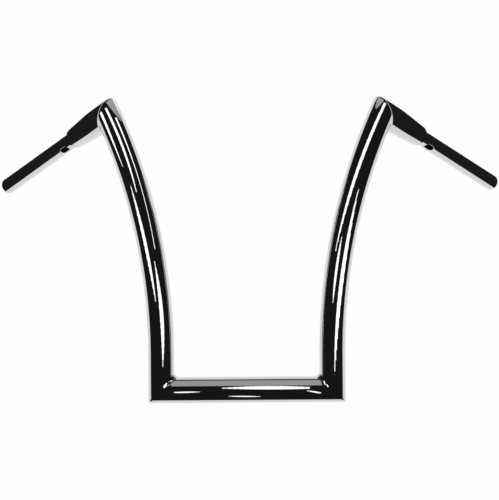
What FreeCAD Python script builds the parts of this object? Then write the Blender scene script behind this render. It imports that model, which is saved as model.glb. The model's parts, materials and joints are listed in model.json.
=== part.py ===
import FreeCAD, Part
import math
import os
import re
import Sketcher

# A tall motorcycle handlebar, mitred and welded from round steel tube.
# The frame: +X to one side, +Y towards the rider, +Z up, origin at the middle of the crossbar, which the
# risers clamp. Everything is made on the right-hand side and mirrored for the left. Millimetres and degrees.

Vector = FreeCAD.Vector
ORIGIN, UP, ACROSS = Vector(0, 0, 0), Vector(0, 0, 1), Vector(1, 0, 0)

DIMENSIONS = {
    "tube_od": 38.1,  # outside of the crossbar, the uprights and the wide end of the shoulders
    "tube_wall": 2.4,
    "grip_od": 22.2,  # what the grips and the controls fit
    "grip_wall": 2.4,
    "spigot_cut": 0.3,  # how much is turned off a grip tube where it goes into its shoulder
    "socket_gap": 0.1,  # all round the spigot
    "upright_spacing": 250,  # between the uprights' axes at the crossbar
    "straight_rise": 51.5,  # from the crossbar's axis to where the uprights start to bend
    "bend_radius": 865,
    "lean_angle": 24,  # how far an upright leans out at its top
    "sweep_angle": 56,  # how far an arm turns back, out of the plane of the uprights
    "droop_angle": 33.4,  # how far an arm falls, as seen from the front
    "taper_start": 28,  # along an arm from its mitre to where the shoulder starts to taper
    "shoulder_length": 110,  # along an arm from its mitre to the lip
    "lip_wall": 4.1,
    "lip_round": 1.5,
    "grip_length": 224,  # from the lip to the end of the bar
    "grip_insert": 26,  # how much of the grip tube is inside the shoulder
    "insert_gap": 1,  # from the grip tube's inner end to the end of its socket
    "end_chamfer": 0.8,
    "weld_width": 3,
    "lower_fillet": 8,  # radius of the weld inside the lower corners
    "upper_fillet": 5,
    "grip_weld": 0.9,
    "wire_slot_length": 20,
    "wire_slot_width": 8.5,
    "wire_slot_place": 27,  # from the lip to the middle of the wiring slot
    "wire_slot_turn": 28,  # from straight below the grip towards the front
    "wire_slot_round": 0.7,
    "outlet_length": 32,  # the slot under the crossbar where the wiring comes out
    "outlet_width": 14,
    "outlet_turn": 30,  # from straight below the crossbar towards the rider
}

TUBE_R = "tube_od / 2"
BORE_R = "(tube_od / 2 - tube_wall)"
GRIP_R = "grip_od / 2"
SPIGOT_R = "(grip_od / 2 - spigot_cut)"
SOCKET_R = "(grip_od / 2 - spigot_cut + socket_gap)"
LIP_R = "(grip_od / 2 - spigot_cut + socket_gap + lip_wall)"
CORNER_X = "upright_spacing / 2"
SPARE = "tube_od * 1.5"  # more than a mitre cuts off along a tube
SOCKET_START = "(shoulder_length - grip_insert - insert_gap)"

doc = FreeCAD.newDocument("handlebar")
sheet = doc.addObject("Spreadsheet::Sheet", "Dimensions")
for row, (alias, size) in enumerate(DIMENSIONS.items(), start=1):
    sheet.set(f"A{row}", alias)
    sheet.set(f"B{row}", str(size))
    sheet.setAlias(f"B{row}", alias)
doc.recompute()


def bound(text):
    """The expression with each dimension's name pointing into the sheet."""
    return re.sub(r"[a-z_]+", lambda m: f"Dimensions.{m[0]}" if m[0] in DIMENSIONS else m[0], text)


def number(text):
    return float(sheet.evalExpression(bound(text)))


def bind(thing, **sizes):
    for name, text in sizes.items():
        thing.setExpression(name, bound(text))


# ---- sketches and bodies ----------------------------------------------------------------------------------


def new_body(name):
    return doc.addObject("PartDesign::Body", name)


def new_sketch(body, name, plane):
    sketch = body.newObject("Sketcher::SketchObject", name)
    sketch.AttachmentSupport = [(next(o for o in body.Origin.OriginFeatures if o.Role == plane), "")]
    sketch.MapMode = "FlatFace"
    return sketch


def hold(sketch, geometry, point, x=None, y=None):
    """Ties a point of the sketch to a distance from its origin along x, y or both."""
    for kind, text in (("DistanceX", x), ("DistanceY", y)):
        if text is not None:
            constraint = Sketcher.Constraint(kind, -1, 1, geometry, point, number(text))
            sketch.setExpression(f"Constraints[{sketch.addConstraint(constraint)}]", bound(text))


def outline(sketch, corners):
    """A closed outline of straight lines through corners, each a pair of expressions."""
    points = [Vector(number(x), number(y), 0) for x, y in corners]
    first = sketch.GeometryCount
    for start, end in zip(points, points[1:] + points[:1]):
        sketch.addGeometry(Part.LineSegment(start, end))
    for side, (x, y) in enumerate(corners):
        following = first + (side + 1) % len(corners)
        sketch.addConstraint(Sketcher.Constraint("Coincident", first + side, 2, following, 1))
        hold(sketch, first + side, 1, x, y)


def circle(sketch, radius, x, y):
    centre = Vector(number(x), number(y), 0)
    added = sketch.addGeometry(Part.Circle(centre, UP, number(radius)))
    constraint = sketch.addConstraint(Sketcher.Constraint("Radius", added, number(radius)))
    sketch.setExpression(f"Constraints[{constraint}]", bound(radius))
    hold(sketch, added, 3, x, y)


def slot(sketch, length, width, place):
    """A round-ended slot that runs along the sketch's y axis, with its middle at place."""
    middle, half = number(place), (number(length) - number(width)) / 2
    radius = number(width) / 2
    ends = [Vector(0, middle + half, 0), Vector(0, middle - half, 0)]
    for end, turn in zip(ends, (0, math.pi)):
        sketch.addGeometry(Part.ArcOfCircle(Part.Circle(end, UP, radius), turn, turn + math.pi))
    for side in (1, -1):
        offset = Vector(side * radius, 0, 0)
        sketch.addGeometry(Part.LineSegment(ends[0] + offset, ends[1] + offset))
    for arc, arc_end, line, line_end in ((0, 1, 2, 1), (0, 2, 3, 1), (1, 2, 2, 2), (1, 1, 3, 2)):
        sketch.addConstraint(Sketcher.Constraint("Tangent", arc, arc_end, line, line_end))
    constraint = sketch.addConstraint(Sketcher.Constraint("Radius", 0, radius))
    sketch.setExpression(f"Constraints[{constraint}]", bound(f"{width} / 2"))
    hold(sketch, 0, 3, "0", f"{place} + ({length} - {width}) / 2")
    hold(sketch, 1, 3, "0", f"{place} - ({length} - {width}) / 2")


def feature(body, kind, name, sketch, **settings):
    added = body.newObject(f"PartDesign::{kind}", name)
    added.Profile = sketch
    for key, setting in settings.items():
        setattr(added, key, setting)
    return added


def turned(body, name, corners):
    """A ring turned about the body's own Z axis from a half section."""
    section = new_sketch(body, f"{name}_section", "XZ_Plane")
    outline(section, corners)
    return feature(body, "Revolution", name, section, ReferenceAxis=(section, ["V_Axis"]), Angle=360)


def edges_where(shape, wanted):
    return [f"Edge{i}" for i, edge in enumerate(shape.Edges, start=1) if wanted(edge)]


def volume_lost(body, before, name):
    if body.Shape.Volume > before - 1:
        raise RuntimeError(f"{name} cuts nothing")


# ---- the two corners of the right-hand side ---------------------------------------------------------------

lean, sweep, droop, slot_turn = (
    math.radians(number(name)) for name in ("lean_angle", "sweep_angle", "droop_angle", "wire_slot_turn")
)
RISE_WAY = Vector(math.sin(lean), 0, math.cos(lean))
ARM_WAY = Vector(
    math.cos(sweep) * math.cos(droop), math.sin(sweep), -math.cos(sweep) * math.sin(droop)
)
LOWER_CORNER = Vector(number(CORNER_X), 0, 0)
UPPER_CORNER = Vector(
    number(CORNER_X) + number("bend_radius") * (1 - math.cos(lean)),
    0,
    number("straight_rise") + number("bend_radius") * math.sin(lean),
)


def square_to(direction, way):
    """The part of way that is square to direction, as a unit vector."""
    return (way - direction * way.dot(direction)).normalize()


# An arm's own frame: Z along the grip, X out through the middle of the wiring slot.
below = square_to(ARM_WAY, -UP)
forward = below.cross(ARM_WAY)
slot_way = below * math.cos(slot_turn) + forward * math.sin(slot_turn)
ARM_FRAME = FreeCAD.Placement(
    UPPER_CORNER, FreeCAD.Rotation(slot_way, ARM_WAY.cross(slot_way), ARM_WAY, "ZXY")
)


def beyond(name, point, way):
    """A box that holds everything near point on the side of the plane that way points to."""
    box = doc.addObject("Part::Box", name)
    bind(box, Length="tube_od * 4", Width="tube_od * 4", Height="tube_od * 4")
    half = number("tube_od * 4") / 2
    turn = FreeCAD.Rotation(UP, way)
    box.Placement = FreeCAD.Placement(point - turn.multVec(Vector(half, half, 0)), turn)
    return box


def trimmed(label, body, way_in, way_out, keeps):
    """The tube cut at the upper corner's mitre, with half the weld's width left for the weld."""
    normal = (way_in + way_out).normalize() * keeps
    plane_point = UPPER_CORNER - normal * number("weld_width / 2")
    cut = doc.addObject("Part::Cut", label)
    cut.Base = body
    cut.Tool = beyond(f"{label}_mitre", plane_point, normal)
    return cut


def labelled(thing, label):
    thing.Label = label
    return thing


# ---- crossbar ---------------------------------------------------------------------------------------------


def crossbar_tube():
    body = new_body("crossbar")
    section = new_sketch(body, "crossbar_section", "YZ_Plane")
    circle(section, TUBE_R, "0", "0")
    circle(section, BORE_R, "0", "0")
    tube = feature(body, "Pad", "crossbar_length", section, Midplane=True)
    bind(tube, Length="upright_spacing + tube_od * 2")
    doc.recompute()
    whole = body.Shape.Volume

    mitres = new_sketch(body, "crossbar_mitres", "XZ_Plane")
    for side in ("", "-"):
        edge = f"{side}({CORNER_X} - weld_width / 2 * sqrt(2)"
        outline(
            mitres,
            [
                (f"{edge} - {SPARE})", SPARE),
                (f"{edge} + {SPARE})", f"-{SPARE}"),
                (f"{edge} + {SPARE})", SPARE),
            ],
        )
    feature(body, "Pocket", "crossbar_mitre_cuts", mitres, Type="ThroughAll", Midplane=True)
    doc.recompute()
    volume_lost(body, whole, "the crossbar's mitres")
    mitred = body.Shape.Volume

    opening = new_sketch(body, "outlet_slot", "XY_Plane")
    slot(opening, "outlet_length", "outlet_width", "0")
    turned_back = FreeCAD.Rotation(ACROSS, number("outlet_turn"))
    opening.AttachmentOffset = FreeCAD.Placement(ORIGIN, turned_back * FreeCAD.Rotation(UP, 90))
    outlet = feature(body, "Pocket", "outlet", opening)
    bind(outlet, Length="tube_od")
    doc.recompute()
    volume_lost(body, mitred, "the wiring outlet")
    return labelled(body, "crossbar_tube")


# ---- uprights ---------------------------------------------------------------------------------------------


def upright_tube():
    body = new_body("upright")
    section = new_sketch(body, "upright_section", "XY_Plane")
    section.AttachmentOffset = FreeCAD.Placement(Vector(0, 0, -number("tube_od")), FreeCAD.Rotation())
    bind(section, **{"AttachmentOffset.Base.z": "-tube_od"})
    circle(section, TUBE_R, CORNER_X, "0")
    circle(section, BORE_R, CORNER_X, "0")

    path = new_sketch(body, "upright_path", "XZ_Plane")
    x, radius = number(CORNER_X), number("bend_radius")
    foot, knee = Vector(x, -number("tube_od"), 0), Vector(x, number("straight_rise"), 0)
    centre = knee + Vector(radius, 0, 0)
    top = centre + Vector(-math.cos(lean), math.sin(lean), 0) * radius
    tip = top + Vector(math.sin(lean), math.cos(lean), 0) * number(SPARE)
    path.addGeometry(Part.LineSegment(foot, knee))
    path.addGeometry(Part.ArcOfCircle(Part.Circle(centre, UP, radius), math.pi - lean, math.pi))
    path.addGeometry(Part.LineSegment(top, tip))
    path.addConstraint(Sketcher.Constraint("Coincident", 0, 2, 1, 2))
    path.addConstraint(Sketcher.Constraint("Coincident", 1, 1, 2, 1))
    top_y = "straight_rise + bend_radius * sin(lean_angle)"
    top_x = f"{CORNER_X} + bend_radius * (1 - cos(lean_angle))"
    hold(path, 0, 1, CORNER_X, "-tube_od")
    hold(path, 0, 2, CORNER_X, "straight_rise")
    hold(path, 1, 3, f"{CORNER_X} + bend_radius", "straight_rise")
    hold(path, 1, 1, None, top_y)
    hold(path, 2, 2, f"{top_x} + {SPARE} * sin(lean_angle)", f"{top_y} + {SPARE} * cos(lean_angle)")

    feature(body, "AdditivePipe", "upright_bend", section, Spine=(path, ["Edge1", "Edge2", "Edge3"]))
    doc.recompute()
    whole = body.Shape.Volume

    mitre = new_sketch(body, "upright_mitre", "XZ_Plane")
    edge = f"{CORNER_X} + weld_width / 2 * sqrt(2)"
    outline(
        mitre,
        [
            (f"{edge} + {SPARE}", f"-{SPARE}"),
            (f"{edge} - {SPARE}", SPARE),
            (f"{edge} - {SPARE}", f"-{SPARE}"),
        ],
    )
    feature(body, "Pocket", "upright_mitre_cut", mitre, Type="ThroughAll", Midplane=True)
    doc.recompute()
    volume_lost(body, whole, "the upright's lower mitre")
    return trimmed("right_upright_tube", body, RISE_WAY, ARM_WAY, 1)


# ---- arms -------------------------------------------------------------------------------------------------


def shoulder():
    """A swaged tube: full size at the mitre, then a taper to a lip whose socket takes the grip tube."""
    body = new_body("shoulder")
    turned(
        body,
        "shoulder_swage",
        [
            (BORE_R, f"-{SPARE}"),
            (TUBE_R, f"-{SPARE}"),
            (TUBE_R, "taper_start"),
            (LIP_R, "shoulder_length"),
            (SOCKET_R, "shoulder_length"),
            (SOCKET_R, SOCKET_START),
            (BORE_R, "taper_start"),
        ],
    )
    doc.recompute()

    def is_lip(edge):
        centre = edge.CenterOfMass
        lip_length = math.tau * number(LIP_R)
        return abs(edge.Length - lip_length) < 0.01 and abs(centre.z - number("shoulder_length")) < 0.01

    swage = body.Tip
    lip = body.newObject("PartDesign::Fillet", "shoulder_lip")
    lip.Base = (swage, edges_where(swage.Shape, is_lip))
    bind(lip, Radius="lip_round")
    body.Placement = ARM_FRAME
    return trimmed("right_shoulder", body, RISE_WAY, ARM_WAY, -1)


def grip_tube():
    body = new_body("grip")
    inner_end, bar_end = "shoulder_length - grip_insert", "shoulder_length + grip_length"
    bore = "grip_od / 2 - grip_wall"
    turned(
        body,
        "grip_length_of_tube",
        [
            (bore, inner_end),
            (SPIGOT_R, inner_end),
            (SPIGOT_R, "shoulder_length + grip_weld"),
            (GRIP_R, "shoulder_length + grip_weld"),
            (GRIP_R, f"{bar_end} - end_chamfer"),
            (f"{GRIP_R} - end_chamfer", bar_end),
            (bore, bar_end),
        ],
    )
    doc.recompute()
    whole = body.Shape.Volume

    opening = new_sketch(body, "wire_slot", "YZ_Plane")
    slot(opening, "wire_slot_length", "wire_slot_width", "shoulder_length + wire_slot_place")
    cut = feature(body, "Pocket", "wire_slot_cut", opening, Reversed=True)
    bind(cut, Length="grip_od")
    doc.recompute()
    volume_lost(body, whole, "the wiring slot")

    def is_rim(edge):
        """On the tube's outside, around the slot."""
        points = edge.discretize(5)
        on_outside = all(abs(math.hypot(p.x, p.y) - number(GRIP_R)) < 0.01 for p in points)
        reach = number("wire_slot_length / 2") + 0.01
        place = number("shoulder_length + wire_slot_place")
        return on_outside and all(abs(p.z - place) <= reach and p.x > 0 for p in points)

    rim = body.newObject("PartDesign::Fillet", "wire_slot_rim")
    rim.Base = (cut, edges_where(cut.Shape, is_rim))
    bind(rim, Radius="wire_slot_round")
    body.Placement = ARM_FRAME
    return labelled(body, "right_grip_tube")


# ---- welds ------------------------------------------------------------------------------------------------


def corner_weld(label, corner, way_in, way_out, fillet):
    """A bead through the walls at a mitre, ground flush outside, with a fillet inside the corner."""
    radius, bore, half = number(TUBE_R), number(BORE_R), number("weld_width / 2")
    reach = number(SPARE) * 2
    normal = (way_in + way_out).normalize()
    inward = (way_out - way_in).normalize()

    def beyond_plane(point, way):
        block = Part.makeBox(reach * 2, reach * 2, reach * 2, Vector(-reach, -reach, 0))
        block.Placement = FreeCAD.Placement(point, FreeCAD.Rotation(UP, way))
        return block

    def rods(size):
        return [Part.makeCylinder(size, reach * 2, corner - way * reach, way) for way in (way_in, way_out)]

    def elbow(size):
        incoming, outgoing = rods(size)
        incoming = incoming.cut(beyond_plane(corner, normal))
        return incoming.fuse(outgoing.cut(beyond_plane(corner, -normal)))

    bead = elbow(radius).cut(elbow(bore))
    for side in (normal, -normal):
        bead = bead.cut(beyond_plane(corner + side * half, side))

    # only the inner side of the mitre is hollow, so the fillet is made on that half
    inner_start = radius / 3
    inner = elbow(radius).common(beyond_plane(corner + inward * inner_start, inward)).removeSplitter()

    def is_crease(edge):
        points = edge.discretize(5)
        on_mitre = all(abs((p - corner).dot(normal)) < 1e-4 for p in points)
        return on_mitre and any((p - corner).dot(inward) > inner_start + 0.5 for p in points)

    web = inner.makeFillet(fillet, [edge for edge in inner.Edges if is_crease(edge)])
    for rod in rods(radius):
        web = web.cut(rod)
    weld = doc.addObject("Part::Feature", label)
    weld.Shape = bead.fuse(web.Solids).removeSplitter().Solids[0]
    weld.Placement = FreeCAD.Placement()
    return weld


def grip_weld():
    """A fine bead in the groove between the lip and the grip tube's full size."""
    body = new_body("grip_bead")
    turned(
        body,
        "grip_bead_ring",
        [
            (SPIGOT_R, "shoulder_length"),
            (f"{GRIP_R} + grip_weld", "shoulder_length"),
            (GRIP_R, "shoulder_length + grip_weld"),
            (SPIGOT_R, "shoulder_length + grip_weld"),
        ],
    )
    body.Placement = ARM_FRAME
    return labelled(body, "right_grip_weld")


# ---- both sides -------------------------------------------------------------------------------------------


def mirrored(source):
    copy = doc.addObject("Part::Mirroring", "left_" + source.Label.removeprefix("right_"))
    copy.Source = source
    copy.Base = ORIGIN
    copy.Normal = ACROSS
    return copy


right_side = [
    upright_tube(),
    shoulder(),
    grip_tube(),
    corner_weld("right_lower_weld", LOWER_CORNER, ACROSS, UP, number("lower_fillet")),
    corner_weld("right_upper_weld", UPPER_CORNER, RISE_WAY, ARM_WAY, number("upper_fillet")),
    grip_weld(),
]
nodes = [crossbar_tube(), *right_side, *[mirrored(piece) for piece in right_side]]
doc.recompute()

for thing in doc.Objects:
    if {"Invalid", "Error"} & set(thing.State):
        raise RuntimeError(f"{thing.Label} failed: {thing.State}")
for node in nodes:
    if node.Shape.isNull() or not node.Shape.isValid() or len(node.Shape.Solids) != 1:
        raise RuntimeError(f"{node.Label} isn't one valid solid")

os.makedirs("parts", exist_ok=True)
for node in nodes:
    node.Shape.exportStep(f"parts/{node.Label}.step")
    print(node.Label, round(node.Shape.Volume), node.Shape.BoundBox)
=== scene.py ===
import json
import math

import bpy
import numpy as np
from mathutils import Matrix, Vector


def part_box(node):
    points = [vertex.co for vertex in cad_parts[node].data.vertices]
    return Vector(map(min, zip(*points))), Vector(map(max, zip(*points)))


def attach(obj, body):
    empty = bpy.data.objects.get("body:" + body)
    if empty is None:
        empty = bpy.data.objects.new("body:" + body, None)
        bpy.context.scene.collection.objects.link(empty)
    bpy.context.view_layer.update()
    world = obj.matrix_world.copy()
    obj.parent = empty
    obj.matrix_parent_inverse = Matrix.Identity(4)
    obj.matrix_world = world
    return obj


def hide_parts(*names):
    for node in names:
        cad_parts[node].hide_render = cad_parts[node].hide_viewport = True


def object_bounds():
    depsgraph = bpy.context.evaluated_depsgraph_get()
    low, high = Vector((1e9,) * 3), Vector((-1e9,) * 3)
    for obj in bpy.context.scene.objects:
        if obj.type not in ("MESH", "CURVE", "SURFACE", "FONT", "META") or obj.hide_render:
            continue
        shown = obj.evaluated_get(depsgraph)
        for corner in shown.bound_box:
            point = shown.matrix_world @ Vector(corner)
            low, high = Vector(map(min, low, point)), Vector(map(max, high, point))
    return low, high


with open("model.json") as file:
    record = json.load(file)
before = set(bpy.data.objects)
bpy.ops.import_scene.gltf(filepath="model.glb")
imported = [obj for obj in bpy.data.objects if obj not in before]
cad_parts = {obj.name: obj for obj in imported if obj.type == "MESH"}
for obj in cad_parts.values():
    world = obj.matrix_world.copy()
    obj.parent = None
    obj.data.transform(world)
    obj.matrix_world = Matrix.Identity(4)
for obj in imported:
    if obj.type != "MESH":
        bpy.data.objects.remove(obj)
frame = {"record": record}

# The looks of a tall chromed handlebar. Every piece is a closed skin of rings whose normals are worked out
# rather than averaged, because a mirror finish shows each facet. The right-hand side is made and mirrored.
# Metres; +X to one side, +Y towards the rider, +Z up.

cad_low, cad_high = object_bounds()
MM = 0.001


def unit(way):
    return np.asarray(way, float) / np.linalg.norm(way)


# ---- sizes, from the frame -------------------------------------------------------------------------------

mounts = {mount["name"]: mount for mount in frame["record"]["mounts"]}
grip_seat, bar_end = mounts["right_grip_seat"], mounts["right_bar_end"]
TUBE_R = mounts["riser_clamp_zone"]["dims"]["r_mm"] * MM
GRIP_R = grip_seat["dims"]["r_mm"] * MM
GRIP_BORE_R = bar_end["dims"]["r_mm"] * MM
WALL = GRIP_R - GRIP_BORE_R
BORE_R = TUBE_R - WALL

ACROSS, BACK, UP = np.eye(3)
ARM_WAY = unit(grip_seat["axis"])
seat_middle = np.array(grip_seat["pos_m"])
UPPER_CORNER = seat_middle - ARM_WAY * seat_middle[1] / ARM_WAY[1]
LOWER_CORNER = ACROSS * (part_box("right_lower_weld")[1].x - TUBE_R)

LEAN = math.radians(24)
RISE_WAY = np.array([math.sin(LEAN), 0, math.cos(LEAN)])
BEND_R = (UPPER_CORNER[0] - LOWER_CORNER[0]) / (1 - math.cos(LEAN))
STRAIGHT_RISE = UPPER_CORNER[2] - BEND_R * math.sin(LEAN)
RISE_LENGTH = STRAIGHT_RISE + BEND_R * LEAN

GRIP_WELD = 0.9 * MM
END_ROUND = 0.8 * MM
seat_reach = grip_seat["dims"]["length_mm"] * MM / 2
seat_place = np.linalg.norm(seat_middle - UPPER_CORNER)
LIP = seat_place - seat_reach - GRIP_WELD
BAR_END = seat_place + seat_reach + END_ROUND
TAPER_START = 28 * MM
TAPER_EASE = 0.35
LIP_R = 15.0 * MM
LIP_ROUND = 1.5 * MM
SPIGOT_R = GRIP_R - 0.3 * MM
SOCKET_R = SPIGOT_R + 0.1 * MM
SPIGOT_LENGTH = 26 * MM
INSERT_GAP = 1 * MM
SOCKET_END = LIP - SPIGOT_LENGTH - INSERT_GAP
SLOT_PLACE = LIP + 27 * MM
SLOT_LENGTH, SLOT_WIDTH = 20 * MM, 8.5 * MM
SLOT_TURN = math.radians(28)
OUTLET_TURN = math.radians(30)
OUTLET_LENGTH, OUTLET_WIDTH = 32 * MM, 14 * MM
ROUND_OFF = 0.8 * MM

SIDES = 144
ANGLES = np.arange(SIDES) * math.tau / SIDES


# ---- rings and skins -------------------------------------------------------------------------------------


class Run:
    """A straight tube's own axes. Angle 0 round it is along first."""

    def __init__(self, origin, way, first):
        self.origin, self.way = np.asarray(origin, float), unit(way)
        self.first = unit(first - self.way * np.dot(first, self.way))
        self.second = np.cross(self.way, self.first)
        self.radial = np.outer(np.cos(ANGLES), self.first) + np.outer(np.sin(ANGLES), self.second)

    def ring(self, along, radius, lean=0.0):
        """Points and normals at a distance along, which may differ from point to point. lean tips the
        normals from straight out towards the run's way."""
        along = np.broadcast_to(along, SIDES)
        points = self.origin + along[:, None] * self.way + self.radial * radius
        return points, self.radial * math.cos(lean) + self.way * math.sin(lean)


class Skin:
    """Gathers bands of surface, each a grid of points with their normals, into one closed mesh."""

    def __init__(self):
        self.points, self.normals, self.quads, self.finishes = [], [], [], []
        self.count = 0

    def grid(self, points, normals, finish=0, closed=True, hole=None):
        """Rows of points. closed joins each row's end to its start. hole is rows and columns left out."""
        rows, columns = points.shape[:2]
        index = np.arange(rows * columns).reshape(rows, columns) + self.count
        following = np.roll(index, -1, axis=1)
        last = columns if closed else columns - 1
        quads = np.stack([index[:-1], following[:-1], following[1:], index[1:]], axis=-1)[:, :last]
        keep = np.ones(quads.shape[:2], bool)
        if hole:
            (first_row, last_row), (first_column, last_column) = hole
            keep[first_row:last_row, first_column:last_column] = False
        quads = quads[keep]
        self.points.append(points.reshape(-1, 3))
        self.normals.append(normals.reshape(-1, 3))
        self.quads.append(quads)
        self.finishes.append(np.full(len(quads), finish))
        self.count += rows * columns

    def band(self, rings, finish=0, hole=None):
        self.grid(np.stack([p for p, n in rings]), np.stack([n for p, n in rings]), finish, hole=hole)

    def rim(self, ring, other, way, finish=0):
        """A flat face between two rings."""
        facing = np.broadcast_to(way, (SIDES, 3))
        self.band([(ring[0], facing), (other[0], facing)], finish)

    def mirrored(self):
        """The same skin for the left-hand side."""
        other = Skin()
        flip = np.array([-1.0, 1.0, 1.0])
        other.points = [points * flip for points in self.points]
        other.normals = [normals * flip for normals in self.normals]
        other.quads, other.finishes, other.count = self.quads, self.finishes, self.count
        return other

    def piece(self, name, slot, finishes):
        """The mesh object, which stands for the CAD node of the same name."""
        points, normals = np.concatenate(self.points), np.concatenate(self.normals)
        quads, finish = np.concatenate(self.quads), np.concatenate(self.finishes)
        kept, merged = np.unique(np.round(points / MM, 4), axis=0, return_inverse=True)
        corners = points[quads]
        facing = np.cross(corners[:, 2] - corners[:, 0], corners[:, 3] - corners[:, 1])
        backward = np.einsum("ij,ij->i", facing, normals[quads].sum(axis=1)) < 0
        quads[backward] = quads[backward][:, ::-1]
        merged = merged.reshape(-1)
        faces, loop_normals, face_finish = [], [], []
        for quad, which in zip(quads, finish):
            joined = merged[quad]
            corner_order = [k for k in range(4) if joined[k] != joined[k - 1]]
            if len(corner_order) > 2:
                faces.append([int(joined[k]) for k in corner_order])
                loop_normals.extend(normals[quad[k]] for k in corner_order)
                face_finish.append(int(which))
        mesh = bpy.data.meshes.new(name)
        mesh.from_pydata(kept * MM, [], faces)
        mesh.polygons.foreach_set("use_smooth", [True] * len(faces))
        mesh.polygons.foreach_set("material_index", face_finish)
        mesh.normals_split_custom_set([tuple(normal) for normal in loop_normals])
        for material in finishes:
            mesh.materials.append(material)
        made = bpy.data.objects.new(name + "_polished", mesh)
        bpy.context.scene.collection.objects.link(made)
        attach(made, "root")
        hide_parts(name)
        return made


# ---- the tubes' lines ------------------------------------------------------------------------------------

crossbar_run = Run(np.zeros(3), ACROSS, UP)
arm_inside = unit(ARM_WAY - RISE_WAY * np.dot(ARM_WAY, RISE_WAY))
UPPER_TURN = math.acos(np.dot(ARM_WAY, RISE_WAY))
LOWER_TURN = math.pi / 2
arm_run = Run(UPPER_CORNER, ARM_WAY, -RISE_WAY)
rise_first, rise_second = -np.array([math.cos(LEAN), 0, -math.sin(LEAN)]), -BACK
ARM_SHIFT = math.atan2(np.dot(arm_inside, rise_second), np.dot(arm_inside, rise_first))
ARM_ANGLES = ANGLES - ARM_SHIFT


def along_rise(distance):
    """Middle, way and inward side of the upright at a distance up from the lower corner."""
    turn = np.clip(distance - STRAIGHT_RISE, 0, None) / BEND_R
    beyond = np.minimum(distance, STRAIGHT_RISE)
    middle = np.stack(
        [LOWER_CORNER[0] + BEND_R * (1 - np.cos(turn)), 0 * turn, beyond + BEND_R * np.sin(turn)], axis=-1
    )
    way = np.stack([np.sin(turn), 0 * turn, np.cos(turn)], axis=-1)
    inward = np.stack([-np.cos(turn), 0 * turn, np.sin(turn)], axis=-1)
    return middle, way, inward


def rise_ring(distance, radius):
    middle, _, inward = along_rise(distance)
    radial = np.cos(ANGLES)[:, None] * inward - np.sin(ANGLES)[:, None] * BACK
    return middle + radial * radius, radial


def corner_reach(angles, turn, radius, inner_round, outer_round):
    """How far from its corner each line along a tube turns into the other tube, and how round it turns."""
    rounding = outer_round + (inner_round - outer_round) * ((1 + np.cos(angles)) / 2) ** 3
    return (radius * np.cos(angles) + rounding) * math.tan(turn / 2), rounding


def elbow(start, start_way, end, end_way, rounding, turn, steps):
    """Rings that turn each line of one tube smoothly into the same line of the next."""
    handle = (rounding * 4 / 3 * math.tan(turn / 4))[:, None]
    a, b = start, start + handle * start_way
    c, d = end - handle * end_way, end
    rows, facings = [], []
    for step in range(steps + 1):
        f = step / steps
        g = 1 - f
        row = g**3 * a + 3 * g * g * f * b + 3 * g * f * f * c + f**3 * d
        speed = g * g * (b - a) + 2 * g * f * (c - b) + f * f * (d - c)
        around = np.roll(row, -1, axis=0) - np.roll(row, 1, axis=0)
        rows.append(row)
        facings.append(np.cross(around, speed))
    points, normals = np.stack(rows), np.stack(facings)
    return points, normals / np.linalg.norm(normals, axis=-1, keepdims=True)


LOWER_ROUNDS = (8 * MM, 2.2 * MM)
UPPER_ROUNDS = (5 * MM, 2.5 * MM)
BORE_ROUNDS = (2 * MM, 2 * MM)


def lower_ends(radius, rounds):
    return corner_reach(ANGLES, LOWER_TURN, radius, *rounds)


def upper_ends(radius, rounds):
    return corner_reach(ARM_ANGLES, UPPER_TURN, radius, *rounds)


def arm_ring(along, radius, lean=0.0):
    """A ring of the shoulder whose points follow on from the upright's."""
    radial = np.outer(np.cos(ARM_ANGLES), arm_run.first) + np.outer(np.sin(ARM_ANGLES), arm_run.second)
    along = np.broadcast_to(along, SIDES)
    points = UPPER_CORNER + along[:, None] * ARM_WAY + radial * radius
    return points, radial * math.cos(lean) + ARM_WAY * math.sin(lean)


# ---- slots -----------------------------------------------------------------------------------------------


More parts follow.
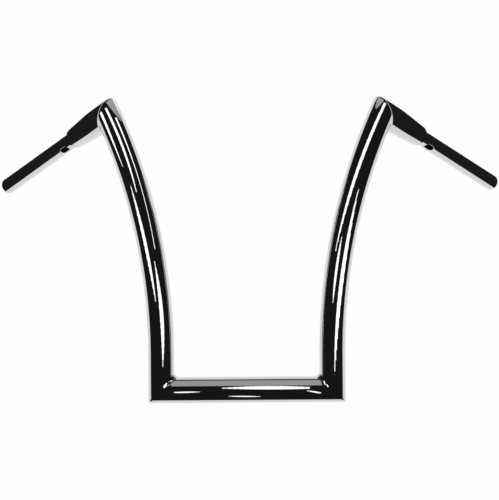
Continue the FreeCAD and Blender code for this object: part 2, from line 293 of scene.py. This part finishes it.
def slotted_tube(skin, run, rows, slot, finishes=(0, 1)):
    """The outside and the bore of a straight tube with a round-ended slot through its wall. rows are the
    distances along of the tube's rings, outside then bore; run.first points away from the slot."""
    out, across = -run.first, -run.second
    half_length, half_width = slot["length"] / 2, slot["width"] / 2
    core = half_length - half_width
    window = slot["window"]
    middle_column = SIDES // 2
    columns = np.arange(middle_column - window, middle_column + window + 1)
    swings = (columns - middle_column) * math.tau / SIDES
    stations = np.linspace(-1, 1, slot["stations"] + 1) * (half_length + slot["margin"])

    def border(radius):
        """The window's edge, once round, as distances along and across."""
        sides = [(stations[0], swing) for swing in swings[:-1]]
        sides += [(station, swings[-1]) for station in stations[:-1]]
        sides += [(stations[-1], swing) for swing in swings[:0:-1]]
        sides += [(station, swings[0]) for station in stations[:0:-1]]
        return np.array([(s, radius * math.sin(swing)) for s, swing in sides])

    def outward_of(flat):
        """From the slot's middle line to each point: the nearest point there, the way and the distance."""
        nearest = np.stack([np.clip(flat[:, 0], -core, core), 0 * flat[:, 0]], axis=-1)
        away = flat - nearest
        reach = np.linalg.norm(away, axis=1, keepdims=True)
        return nearest, away / reach, reach[:, 0]

    def height(flat, radius, dish):
        _, _, reach = outward_of(flat)
        sink = np.clip(1 - (reach - half_width) / slot["dish_reach"], 0, None) ** 2 * dish
        return np.sqrt(radius**2 - flat[:, 1] ** 2) - sink

    def placed(flat, level):
        spread = np.outer(flat[:, 0] + slot["place"], run.way) + np.outer(flat[:, 1], across)
        return run.origin + spread + np.outer(level, out)

    def facing(flat, radius, dish):
        step = 0.01 * MM
        slopes = [
            (height(flat + nudge, radius, dish) - height(flat - nudge, radius, dish)) / (2 * step)
            for nudge in (np.array([step, 0]), np.array([0, step]))
        ]
        normal = out - np.outer(slopes[0], run.way) - np.outer(slopes[1], across)
        return normal / np.linalg.norm(normal, axis=1, keepdims=True)

    outer_edge, inner_edge = border(slot["radius"]), border(slot["bore"])
    nearest, away, reach = outward_of(outer_edge)
    rows_of_points, rows_of_normals = [], []
    gap = reach - half_width - slot["rim"]
    for share in np.linspace(1, 0, 7) ** 1.3:
        flat = nearest + away * (half_width + slot["rim"] + gap * share)[:, None]
        rows_of_points.append(placed(flat, height(flat, slot["radius"], slot["dish"])))
        rows_of_normals.append(facing(flat, slot["radius"], slot["dish"]))
    inward = -(np.outer(away[:, 0], run.way) + np.outer(away[:, 1], across))
    for turn in np.linspace(0, math.pi / 2, 6)[1:]:
        flat = nearest + away * (half_width + slot["rim"] * (1 - math.sin(turn)))
        level = height(flat, slot["radius"], slot["dish"]) - slot["rim"] * (1 - math.cos(turn))
        rows_of_points.append(placed(flat, level))
        outward = facing(flat, slot["radius"], slot["dish"])
        rows_of_normals.append(outward * math.cos(turn) + inward * math.sin(turn))
    skin.grid(np.stack(rows_of_points), np.stack(rows_of_normals), finishes[0])
    outline = nearest + away * half_width
    bottom = placed(outline, height(outline, slot["bore"], 0))
    skin.grid(np.stack([rows_of_points[-1], bottom]), np.stack([inward, inward]), finishes[0])
    inside_points, inside_normals = [], []
    for share in np.linspace(0, 1, 5):
        flat = outline * (1 - share) + inner_edge * share
        inside_points.append(placed(flat, height(flat, slot["bore"], 0)))
        inside_normals.append(-facing(flat, slot["bore"], 0))
    skin.grid(np.stack(inside_points), np.stack(inside_normals), finishes[1])

    for radius, distances, finish in zip((slot["radius"], slot["bore"]), rows, finishes):
        before, after = distances
        places = [*before, *(stations + slot["place"]), *after]
        rings = [run.ring(place, radius) for place in places]
        if finish == finishes[1]:
            rings = [(points, -normals) for points, normals in rings]
        first_row = len(before)
        hole = ((first_row, first_row + slot["stations"]), (columns[0], columns[-1]))
        skin.band(rings, finish, hole=hole)
        yield rings[0], rings[-1]


# ---- shader maths ----------------------------------------------------------------------------------------


class Value:
    """A socket that carries a number. An expression on values adds its Math nodes."""

    def __init__(self, finish, socket):
        self.finish, self.socket = finish, socket

    def math(self, operation, *others):
        return self.finish.node("ShaderNodeMath", {"operation": operation}, [self, *others])

    def __add__(self, other):
        return self.math("ADD", other)

    def __mul__(self, other):
        return self.math("MULTIPLY", other)

    __radd__, __rmul__ = __add__, __mul__


class Finish:
    """A material or world whose nodes are made by one method."""

    def __init__(self, owner):
        owner.use_nodes = True
        self.owner, self.tree = owner, owner.node_tree
        self.tree.nodes.clear()

    def node(self, kind, settings=(), inputs=(), output=0):
        """A node of that kind. settings are its own properties; inputs are values or links by socket."""
        made = self.tree.nodes.new(kind)
        for key, setting in dict(settings).items():
            setattr(made, key, setting)
        pairs = inputs.items() if isinstance(inputs, dict) else enumerate(inputs)
        for key, given in pairs:
            if isinstance(given, Value):
                self.tree.links.new(given.socket, made.inputs[key])
            else:
                made.inputs[key].default_value = given
        return Value(self, made.outputs[output]) if made.outputs else made

    def noise(self, place, scale, detail=2.0, roughness=0.5):
        inputs = {"Vector": place, "Scale": scale, "Detail": detail, "Roughness": roughness}
        return self.node("ShaderNodeTexNoise", {}, inputs)

    def place(self):
        return self.node("ShaderNodeTexCoord", {}, {}, output="Object")

    def stretched(self, place, scale):
        return self.node("ShaderNodeMapping", {}, {"Vector": place, "Scale": scale})

    def mixed(self, share, colour, other):
        inputs = {"Factor": share, 6: (*colour, 1), 7: (*other, 1)}
        return self.node("ShaderNodeMix", {"data_type": "RGBA"}, inputs, output=2)


def metal(name, colours, smoothness, wave, grain):
    """A bare or plated metal: colour drifts between two tones, polish between two roughnesses, and the
    surface keeps a slow waviness and a fine grain. wave and grain are (scale, depth)."""
    finish = Finish(bpy.data.materials.new(name))
    place = finish.place()
    drift = finish.noise(place, 9.0, 3.0)
    marks = finish.noise(finish.stretched(place, (40, 40, 900)), 1.0, 4.0, 0.7)
    low, high = smoothness
    slow = finish.noise(place, wave[0], 1.0)
    fine = finish.noise(finish.stretched(place, (grain[0], grain[0], grain[0] / 6)), 1.0, 3.0, 0.6)
    relief = slow * wave[1] + fine * grain[1]
    normal = finish.node(
        "ShaderNodeBump", {}, {"Strength": 1.0, "Distance": 1.0, "Height": relief}
    )
    shader = finish.node(
        "ShaderNodeBsdfPrincipled",
        {},
        {
            "Base Color": finish.mixed(drift, *colours),
            "Metallic": 1.0,
            "Roughness": low + (high - low) * (drift * 0.5 + marks * 0.5),
            "Normal": normal,
        },
    )
    finish.node("ShaderNodeOutputMaterial", {}, {"Surface": shader})
    return finish.owner


CHROME_TONES = ((0.60, 0.605, 0.615), (0.66, 0.662, 0.668))
STEEL_TONES = ((0.20, 0.20, 0.205), (0.30, 0.295, 0.29))
plated = metal("polished_chrome", CHROME_TONES, (0.012, 0.03), (22, 0.03 * MM), (1500, 0.00003 * MM))
dressed = metal("ground_and_plated", CHROME_TONES, (0.015, 0.035), (60, 0.012 * MM), (1500, 0.00005 * MM))
drawn = metal("drawn_bore", STEEL_TONES, (0.28, 0.5), (80, 0.06 * MM), (700, 0.006 * MM))


# ---- the right-hand side, and both -----------------------------------------------------------------------

ELBOW_STEPS = 20


def lower_weld():
    skin, sides = Skin(), []
    for radius, rounds, finish in ((TUBE_R, LOWER_ROUNDS, 0), (BORE_R, BORE_ROUNDS, 1)):
        reach, rounding = lower_ends(radius, rounds)
        start = crossbar_run.ring(LOWER_CORNER[0] - reach, radius)[0]
        end = rise_ring(reach, radius)[0]
        points, normals = elbow(start, ACROSS, end, UP, rounding, LOWER_TURN, ELBOW_STEPS)
        skin.grid(points, normals if finish == 0 else -normals, finish)
        sides.append((points[0], points[-1]))
    close_weld(skin, sides, -ACROSS, UP)
    return skin


def upper_weld():
    skin, sides = Skin(), []
    for radius, rounds, finish in ((TUBE_R, UPPER_ROUNDS, 0), (BORE_R, BORE_ROUNDS, 1)):
        reach, rounding = upper_ends(radius, rounds)
        start = rise_ring(RISE_LENGTH - reach, radius)[0]
        start_ways = along_rise(RISE_LENGTH - reach)[1]
        end = arm_ring(reach, radius)[0]
        points, normals = elbow(start, start_ways, end, ARM_WAY, rounding, UPPER_TURN, ELBOW_STEPS)
        skin.grid(points, normals if finish == 0 else -normals, finish)
        sides.append((points[0], points[-1]))
    close_weld(skin, sides, -RISE_WAY, ARM_WAY)
    return skin


def close_weld(skin, sides, start_facing, end_facing):
    for k, way in ((0, start_facing), (1, end_facing)):
        facing = np.broadcast_to(way, (SIDES, 3))
        skin.band([(sides[0][k], facing), (sides[1][k], facing)], 1)


def upright_tube():
    skin, ends = Skin(), []
    for radius, lower, upper, rows, finish in (
        (TUBE_R, LOWER_ROUNDS, UPPER_ROUNDS, 120, 0),
        (BORE_R, BORE_ROUNDS, BORE_ROUNDS, 30, 1),
    ):
        low, high = lower_ends(radius, lower)[0], RISE_LENGTH - upper_ends(radius, upper)[0]
        rings = [rise_ring(low + (high - low) * share, radius) for share in np.linspace(0, 1, rows)]
        if finish:
            rings = [(points, -normals) for points, normals in rings]
        skin.band(rings, finish)
        ends.append((rings[0], rings[-1]))
    skin.rim(ends[0][0], ends[1][0], -UP, 1)
    skin.rim(ends[0][1], ends[1][1], RISE_WAY, 1)
    return skin


def shoulder():
    """Full size at the mitre, then a swaged taper to a rounded lip round the grip tube's socket."""
    skin = Skin()
    start = upper_ends(TUBE_R, UPPER_ROUNDS)[0]
    straight = [arm_ring(start + (TAPER_START - start) * share, TUBE_R) for share in np.linspace(0, 1, 10)]
    skin.band(straight)
    taper_length, drop = LIP - TAPER_START, TUBE_R - LIP_R

    def swage(share):
        """Radius and slope at a share of the taper. The slope builds up over the first TAPER_EASE."""
        scale = 1 / (1 - TAPER_EASE / 2)
        eased = share**2 / (2 * TAPER_EASE) if share < TAPER_EASE else share - TAPER_EASE / 2
        slope = min(share / TAPER_EASE, 1) * scale * drop / taper_length
        return TUBE_R - drop * eased * scale, math.atan(slope)

    end_share = 1 - LIP_ROUND / taper_length
    taper = []
    for share in np.linspace(0, end_share, 40):
        radius, lean = swage(share)
        taper.append(arm_ring(TAPER_START + taper_length * share, radius, lean))
    skin.band(taper)
    edge_r, edge_lean = swage(end_share)
    rounding = []
    for lean in np.linspace(edge_lean, math.pi / 2, 12):
        left_to_turn = (math.pi / 2 - lean) / (math.pi / 2 - edge_lean)
        lead = math.sin(edge_lean) * left_to_turn
        along = LIP - LIP_ROUND * (1 - math.sin(lean) + lead)
        radius = edge_r - LIP_ROUND * (math.cos(edge_lean) - math.cos(lean))
        rounding.append(arm_ring(along, radius, lean))
    skin.band(rounding)
    lip_outer, lip_inner = rounding[-1], arm_ring(LIP, SOCKET_R)
    skin.rim(lip_outer, lip_inner, ARM_WAY)
    bore_start = upper_ends(BORE_R, BORE_ROUNDS)[0]
    inside = [
        arm_ring(LIP, SOCKET_R),
        arm_ring(SOCKET_END, SOCKET_R),
        arm_ring(TAPER_START, BORE_R),
        arm_ring(bore_start, BORE_R),
    ]
    skin.band([(points, -normals) for points, normals in inside], 1)
    skin.rim(straight[0], inside[-1], -ARM_WAY, 1)
    return skin


def grip_weld():
    """A fine hollow bead in the corner between the lip and the grip tube."""
    skin = Skin()
    throat = []
    for turn in np.linspace(0, math.pi / 2, 9):
        along = LIP + GRIP_WELD * (1 - math.cos(turn))
        radius = GRIP_R + GRIP_WELD * (1 - math.sin(turn))
        throat.append(arm_ring(along, radius, math.pi / 2 - turn))
    skin.band(throat)
    inside = [arm_ring(LIP + GRIP_WELD, SPIGOT_R), arm_ring(LIP, SPIGOT_R)]
    skin.rim(throat[-1], inside[0], ARM_WAY)
    skin.band([(points, -normals) for points, normals in inside])
    skin.rim(inside[1], throat[0], -ARM_WAY)
    return skin


below = unit(-UP + ARM_WAY * ARM_WAY[2])
slot_way = below * math.cos(SLOT_TURN) + np.cross(below, ARM_WAY) * math.sin(SLOT_TURN)
grip_run = Run(UPPER_CORNER, ARM_WAY, -slot_way)


def grip_tube():
    skin = Skin()
    slot = {
        "place": SLOT_PLACE, "length": SLOT_LENGTH, "width": SLOT_WIDTH,
        "radius": GRIP_R, "bore": GRIP_BORE_R, "window": 17, "stations": 16,
        "margin": 4.5 * MM, "rim": ROUND_OFF, "dish": 0.35 * MM, "dish_reach": 3 * MM,
    }
    seat, end = LIP + GRIP_WELD, BAR_END - END_ROUND
    outside = ([seat], np.linspace(SLOT_PLACE + SLOT_LENGTH, end, 24))
    inside = ([LIP - SPIGOT_LENGTH], np.linspace(SLOT_PLACE + SLOT_LENGTH, BAR_END - END_ROUND / 2, 12))
    (first, last), (bore_first, bore_last) = slotted_tube(skin, grip_run, (outside, inside), slot)
    rounding = []
    for lean in np.linspace(0, math.pi / 2, 9):
        place = end + END_ROUND * math.sin(lean)
        rounding.append(grip_run.ring(place, GRIP_R - END_ROUND * (1 - math.cos(lean)), lean))
    skin.band(rounding)
    inner_edge = grip_run.ring(BAR_END, GRIP_BORE_R + END_ROUND / 2)
    skin.rim(rounding[-1], inner_edge, ARM_WAY)
    skin.band([(inner_edge[0], grip_run.ring(0, 1, math.pi / 4)[1]), (bore_last[0], -grip_run.radial)], 1)
    spigot = [grip_run.ring(seat, SPIGOT_R), grip_run.ring(LIP - SPIGOT_LENGTH, SPIGOT_R)]
    skin.rim(first, spigot[0], -ARM_WAY)
    skin.band(spigot, 1)
    skin.rim(spigot[1], bore_first, -ARM_WAY, 1)
    return skin


def crossbar_tube():
    skin = Skin()
    outlet_run = Run(np.zeros(3), ACROSS, UP * math.cos(OUTLET_TURN) - BACK * math.sin(OUTLET_TURN))
    slot = {
        "place": 0.0, "length": OUTLET_LENGTH, "width": OUTLET_WIDTH, "radius": TUBE_R, "bore": BORE_R,
        "window": 17, "stations": 24, "margin": 5 * MM, "rim": ROUND_OFF, "dish": 0.0, "dish_reach": 3 * MM,
    }
    past_outlet, clear = 27 * MM, 94 * MM  # the evenly spaced rings lie between these
    rows = []
    for radius, rounds, count in ((TUBE_R, LOWER_ROUNDS, 10), (BORE_R, BORE_ROUNDS, 4)):
        tip = LOWER_CORNER[0] - corner_reach(ANGLES + OUTLET_TURN, LOWER_TURN, radius, *rounds)[0]
        after = [*np.linspace(past_outlet, clear, count), tip]
        rows.append(([-place for place in after[::-1]], after))
    (left, right), (bore_left, bore_right) = slotted_tube(skin, outlet_run, rows, slot)
    skin.rim(left, bore_left, -ACROSS, 1)
    skin.rim(right, bore_right, ACROSS, 1)
    return skin


TUBE_SLOT, WELD_SLOT = "polished_tube", "polished_weld"
tube_finishes, weld_finishes = (plated, drawn), (dressed, drawn)
pieces = {"crossbar_tube": crossbar_tube().piece("crossbar_tube", TUBE_SLOT, tube_finishes)}
for node, skin, slot_name, finishes in (
    ("upright_tube", upright_tube(), TUBE_SLOT, tube_finishes),
    ("shoulder", shoulder(), TUBE_SLOT, tube_finishes),
    ("grip_tube", grip_tube(), TUBE_SLOT, tube_finishes),
    ("lower_weld", lower_weld(), WELD_SLOT, weld_finishes),
    ("upper_weld", upper_weld(), WELD_SLOT, weld_finishes),
    ("grip_weld", grip_weld(), WELD_SLOT, weld_finishes),
):
    for side, made in (("right", skin), ("left", skin.mirrored())):
        pieces[f"{side}_{node}"] = made.piece(f"{side}_{node}", slot_name, finishes)


# ---- camera ----------------------------------------------------------------------------------------------

VIEW_DISTANCE = 30.0
AIM = np.array([5.1 * MM, 0, 203.8 * MM])
YAW, ROLL = math.radians(1.27), math.radians(0.4)
FRAME_HEIGHT = 0.730
SENSOR = 36.0

look = np.array([-math.sin(YAW), math.cos(YAW), 0])
level = np.cross(look, UP)
right_way = level * math.cos(ROLL) - UP * math.sin(ROLL)
up_way = np.cross(right_way, look)
camera_place = AIM - look * VIEW_DISTANCE
camera = bpy.data.objects.new("camera", bpy.data.cameras.new("camera"))
camera.data.sensor_width = SENSOR
camera.data.lens = SENSOR * VIEW_DISTANCE / FRAME_HEIGHT
camera.data.clip_end = 100
camera.matrix_world = Matrix(
    [[right_way[k], up_way[k], -look[k], camera_place[k]] for k in range(3)] + [[0, 0, 0, 1]]
)
bpy.context.scene.collection.objects.link(camera)
bpy.context.scene.camera = camera


# ---- studio ----------------------------------------------------------------------------------------------

bpy.context.scene.view_settings.view_transform = "Standard"


def glowing(name, colour, strength):
    finish = Finish(bpy.data.materials.new(name))
    light = finish.node("ShaderNodeEmission", {}, {"Color": (*colour, 1), "Strength": strength})
    finish.node("ShaderNodeOutputMaterial", {}, {"Surface": light})
    return finish.owner


def receivers(name, names):
    group = bpy.data.collections.new(name)
    for key in names:
        group.objects.link(pieces[key])
    return group


def stage_mesh(name, points, faces, material, seen_by_camera, group=None):
    mesh = bpy.data.meshes.new(name)
    mesh.from_pydata([tuple(p) for p in points], [], faces)
    mesh.materials.append(material)
    made = bpy.data.objects.new(name, mesh)
    bpy.context.scene.collection.objects.link(made)
    made.visible_camera = seen_by_camera
    made.visible_glossy = not seen_by_camera
    made.visible_diffuse = made.visible_transmission = made.visible_volume_scatter = False
    made.visible_shadow = False
    if group:
        made.light_linking.receiver_collection = group
    return made


def cap(name, towards, reach, distance, strength, group):
    """A great soft panel, part of a sphere round the object, reaching that angle from its middle."""
    towards = unit(towards)
    side = unit(np.cross(towards, UP + 0.1 * ACROSS))
    other = np.cross(towards, side)
    points, faces, rows, columns = [], [], 16, 48
    for row in range(rows + 1):
        tilt = reach * row / rows
        for column in range(columns):
            turn = math.tau * column / columns
            spread = side * math.cos(turn) + other * math.sin(turn)
            points.append((towards * math.cos(tilt) + spread * math.sin(tilt)) * distance)
    for row in range(rows):
        for column in range(columns):
            a, b = row * columns + column, row * columns + (column + 1) % columns
            faces.append((a, b, b + columns, a + columns))
    return stage_mesh(name, points, faces, glowing(name, (1, 1, 1), strength), False, group)


ARM_PARTS = ("shoulder", "grip_tube", "grip_weld")
ARM_NODES = [f"{side}_{node}" for side in ("right", "left") for node in ARM_PARTS]
BAR_NODES = [name for name in pieces if name not in ARM_NODES]
arms, bars = receivers("arms", ARM_NODES), receivers("bars", BAR_NODES)

PANEL_REACH, PANEL_DISTANCE = math.radians(75), 14
cap("back_panel", BACK, PANEL_REACH, PANEL_DISTANCE, 1.0, bars)

# a long pale table below and behind, which the arms' undersides see
TABLE_DEPTH, TABLE_SPREAD, TABLE_START, TABLE_END = 1.5, 0.95, 0.28, 9
table_points = [
    (x * TABLE_DEPTH * TABLE_SPREAD, y * TABLE_DEPTH, -TABLE_DEPTH)
    for x, y in ((-1, TABLE_START), (1, TABLE_START), (1, TABLE_END), (-1, TABLE_END))
]
stage_mesh("table", table_points, [(0, 1, 2, 3)], glowing("table", (1, 1, 1), 1.0), False)

floor_level = cad_low.z - 0.5 * MM
FLOOR_REACH = 30.0
floor_corners = ((-1, -1), (1, -1), (1, 1), (-1, 1))
floor_points = [(x * FLOOR_REACH, y * FLOOR_REACH, floor_level) for x, y in floor_corners]
stage_mesh("floor", floor_points, [(0, 1, 2, 3)], glowing("pale_floor", (1, 1, 1), 0.98), True)

world = Finish(bpy.data.worlds.new("studio"))
bpy.context.scene.world = world.owner
seen = world.node("ShaderNodeBackground", {}, {"Color": (1, 1, 1, 1), "Strength": 0.99})
reflected = world.node("ShaderNodeBackground", {}, {"Color": (1, 1, 1, 1), "Strength": 0.012})
ray = world.node("ShaderNodeLightPath", {}, {}, output="Is Camera Ray")
chosen = world.node("ShaderNodeMixShader", {}, {0: ray, 1: reflected, 2: seen})
world.node("ShaderNodeOutputWorld", {}, {"Surface": chosen})


# ---- lights in front -------------------------------------------------------------------------------------
# Each strip is shaped by the highlight it makes, and lies where that highlight's glints look. A highlight
# is its strength, its two ends along the tube in mm, and its centres and widths at the first end, halfway
# and the last end, as shares of the tube's radius across the view. A strip must stay nearer than BEND_R, or
# a bent tube shows it twice. Lamps, unlike panels, hide nothing from the pieces they don't light.

STRIP_DISTANCE = 0.5
STRIP_LAMPS = 16
WHITE, GREY, ARM_FILL = 1.7, 0.45, 0.016


def glint(middle, way, share):
    """Where a tube's surface looks, from the point at that share of its radius across the view."""
    middle = np.asarray(middle, float)
    toward = unit(camera_place - middle)
    front = unit(toward - way * np.dot(toward, way))
    aside = np.cross(way, front)
    normal = front * math.sqrt(1 - share**2) + aside * share
    start = middle + normal * TUBE_R
    arriving = unit(camera_place - start)
    leaving = 2 * np.dot(arriving, normal) * normal - arriving
    return start, leaving


def through(values, share):
    """The smooth curve through a first, middle and last value, at a share of the way."""
    first, middle, last = values
    return first + (4 * middle - 3 * first - last) * share + 2 * (first + last - 2 * middle) * share**2


def strip_light(name, highlight, line, group):
    """A row of lamps side by side, which makes one highlight. line gives a tube's middle and way at a
    place. A highlight that stays the same all along needs only one lamp."""
    strength, ends, centres, widths = highlight
    even = len(set(centres)) == len(set(widths)) == 1
    rows = []
    for share in np.linspace(0, 1, 2 if even else STRIP_LAMPS + 1):
        middle, way = line(ends[0] + (ends[1] - ends[0]) * share)
        centre, half = through(centres, share), max(through(widths, share), 0.01) / 2
        glints = [glint(middle, way, edge) for edge in (centre - half, centre + half)]
        rows.append([start + leaving * STRIP_DISTANCE for start, leaving in glints])
    tube_middle = line(sum(ends) / 2)[0]
    for k, ((a, b), (c, d)) in enumerate(zip(rows, rows[1:])):
        centre, wide = (a + b + c + d) / 4, (b + d - a - c) / 2
        lengthways = unit(np.cross(unit(centre - tube_middle), unit(wide)))
        depth = max(abs(np.dot(c - a, lengthways)), abs(np.dot(d - b, lengthways)))
        size = np.linalg.norm(wide), depth
        lamp(f"{name}_{k}", centre, (unit(wide), lengthways), size, strength, group)


def lamp(name, centre, sides, size, radiance, group):
    """A rectangular lamp along two sides that shines away from their cross product."""
    made = bpy.data.objects.new(name, bpy.data.lights.new(name, "AREA"))
    made.data.shape = "RECTANGLE"
    made.data.size, made.data.size_y = (max(length, 1 * MM) for length in size)
    made.data.energy = radiance * math.pi * made.data.size * made.data.size_y
    across, along = sides
    facing = unit(np.cross(across, along))
    along = np.cross(facing, across)
    made.matrix_world = Matrix(
        [[across[k], along[k], facing[k], centre[k]] for k in range(3)] + [[0, 0, 0, 1]]
    )
    bpy.context.scene.collection.objects.link(made)
    made.visible_camera = False
    made.light_linking.receiver_collection = group


def along_crossbar(x):
    return np.array([x * MM, 0, 0]), -ACROSS


def along_upright(side):
    def line(height):
        rise = height * MM - STRAIGHT_RISE
        turn = math.asin(max(rise, 0) / BEND_R)
        distance = STRAIGHT_RISE + BEND_R * turn if rise > 0 else height * MM
        middle, way, _ = along_rise(np.array([distance]))
        flip = np.array([side, 1, 1])
        return middle[0] * flip, way[0] * flip

    return line


def highlights(side, keys, line, strips):
    group = receivers(side, keys)
    for name, highlight in strips.items():
        strip_light(f"{side}_{name}", highlight, line, group)


highlights("crossbar", ["crossbar_tube"], along_crossbar, {
    "overhead": (GREY, (-110, 110), (0.50, 0.50, 0.50), (0.42, 0.42, 0.42)),
    "key": (WHITE, (-36, 92), (0.12, 0.13, 0.10), (0.04, 0.25, 0.12)),
    "left": (WHITE, (-106, -68), (-0.18, -0.17, -0.15), (0.06, 0.10, 0.02)),
    "right": (WHITE, (88, 108), (-0.12, -0.20, -0.30), (0.02, 0.10, 0.08)),
    "low": (WHITE, (-27, 20), (-0.50, -0.52, -0.54), (0.02, 0.08, 0.02)),
})
highlights("left", ["left_upright_tube", "left_upper_weld", "left_lower_weld"], along_upright(-1), {
    "outer": (WHITE, (410, 330), (-0.46, -0.49, -0.46), (0.18, 0.12, 0.03)),
    "top": (WHITE, (412, 290), (0.02, 0.05, -0.05), (0.15, 0.15, 0.05)),
    "far": (WHITE, (395, 205), (0.42, 0.40, 0.30), (0.12, 0.05, 0.05)),
    "main": (WHITE, (300, 130), (-0.34, -0.34, -0.20), (0.03, 0.21, 0.03)),
    "inner": (WHITE, (188, 34), (0.10, 0.16, 0.12), (0.02, 0.26, 0.02)),
    "crown": (GREY, (430, 388), (0.50, 0.60, 0.70), (0.80, 0.50, 0.05)),
})
highlights("right", ["right_upright_tube", "right_upper_weld", "right_lower_weld"], along_upright(1), {
    "main": (WHITE, (417, 200), (-0.06, -0.20, -0.38), (0.18, 0.21, 0.03)),
    "outer": (WHITE, (292, 26), (0.30, 0.40, 0.16), (0.03, 0.27, 0.03)),
    "middle": (WHITE, (222, 126), (-0.10, -0.10, -0.10), (0.02, 0.17, 0.02)),
    "crown": (GREY, (432, 405), (-0.50, -0.50, -0.55), (0.55, 0.50, 0.10)),
})

FILL_DISTANCE, FILL_SIZE = 3, 34
lamp("arm_fill", BACK * FILL_DISTANCE, (ACROSS, -UP), (FILL_SIZE, FILL_SIZE), ARM_FILL, arms)
